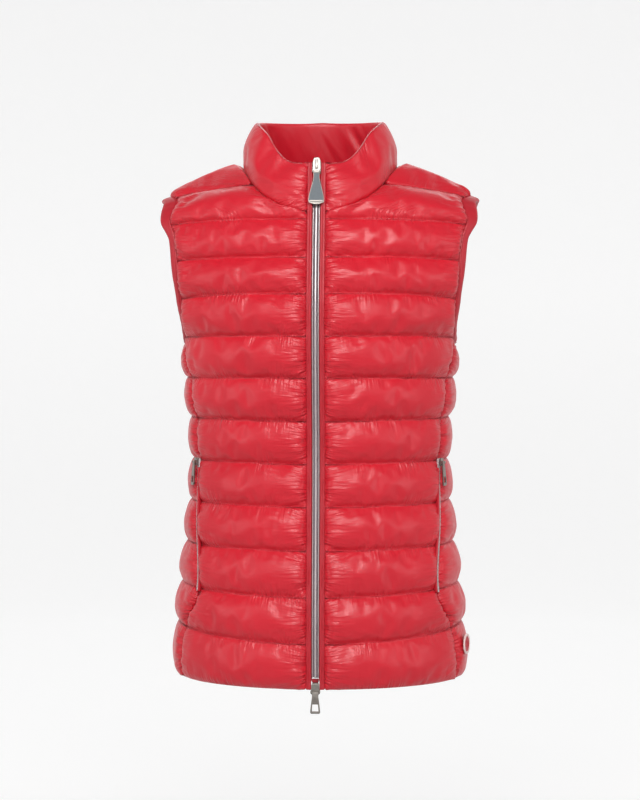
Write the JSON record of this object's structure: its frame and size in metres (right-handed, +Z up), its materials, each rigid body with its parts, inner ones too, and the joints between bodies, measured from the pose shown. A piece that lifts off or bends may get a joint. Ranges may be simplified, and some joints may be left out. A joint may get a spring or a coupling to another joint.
{
  "type": "puffer vest",
  "caption": "Sleeveless quilted puffer vest with a padded stand collar, a full-length two-way front zip and slanted zipped side pockets, in worn hollow shape.",
  "frame": {"origin": "midway between the two points where the neck meets the shoulders, where the wearer's shoulders hold the vest up", "axes": "+Z up along the body, the front faces -Y, +X to the wearer's left"},
  "size_m": [0.3784, 0.2533, 0.6947],
  "materials": {
    "glossy_nylon": "glossy coated nylon taffeta",
    "binding": "folded nylon, satin",
    "zip_tape": "woven polyester tape",
    "zip_teeth": "metallised coil",
    "zip_metal": "polished nickel on zinc",
    "badge_white": "moulded, satin",
    "badge_red": "moulded, satin"
  },
  "bodies": {
    "vest": {"front_left": "glossy_nylon", "front_right": "glossy_nylon", "side_left": "glossy_nylon", "side_right": "glossy_nylon", "back": "glossy_nylon", "collar": "glossy_nylon", "armhole_binding_left": "binding", "armhole_binding_right": "binding", "zip_binding_left": "binding", "zip_binding_right": "binding", "zip_tape_left": "zip_tape", "zip_tape_right": "zip_tape", "zip_chain": "zip_teeth", "zip_stop": "zip_tape", "top_slider": "zip_metal", "bottom_slider": "zip_metal", "pocket_zip_left": "zip_teeth", "pocket_zip_right": "zip_teeth", "pocket_welt_left": "binding", "pocket_welt_right": "binding", "pocket_slider_left": "zip_metal", "pocket_slider_right": "zip_metal", "badge": "badge_red", "badge_ring": "badge_white"},
    "top_pull": {"top_pull": "zip_metal"},
    "bottom_pull": {"bottom_pull": "zip_metal"},
    "pocket_pull_left": {"pocket_pull_left": "zip_metal"},
    "pocket_pull_right": {"pocket_pull_right": "zip_metal"}
  },
  "joints": [
    {"name": "top_pull_hinge", "type": "hinge", "parent": "vest", "child": "top_pull", "pos_m": [0, -0.08589, -0.00939], "axis": [-1, 0, 0], "range_deg": [0, 150]},
    {"name": "bottom_pull_hinge", "type": "hinge", "parent": "vest", "child": "bottom_pull", "pos_m": [0, -0.11731, -0.60547], "axis": [-1, 0, 0], "range_deg": [0, 150]},
    {"name": "pocket_pull_left_hinge", "type": "hinge", "parent": "vest", "child": "pocket_pull_left", "pos_m": [0.14683, -0.04305, -0.34766], "axis": [-0.5238, -0.8497, -0.061], "range_deg": [0, 150]},
    {"name": "pocket_pull_right_hinge", "type": "hinge", "parent": "vest", "child": "pocket_pull_right", "pos_m": [-0.14683, -0.04305, -0.34766], "axis": [-0.5238, 0.8497, 0.061], "range_deg": [0, 150]}
  ]
}
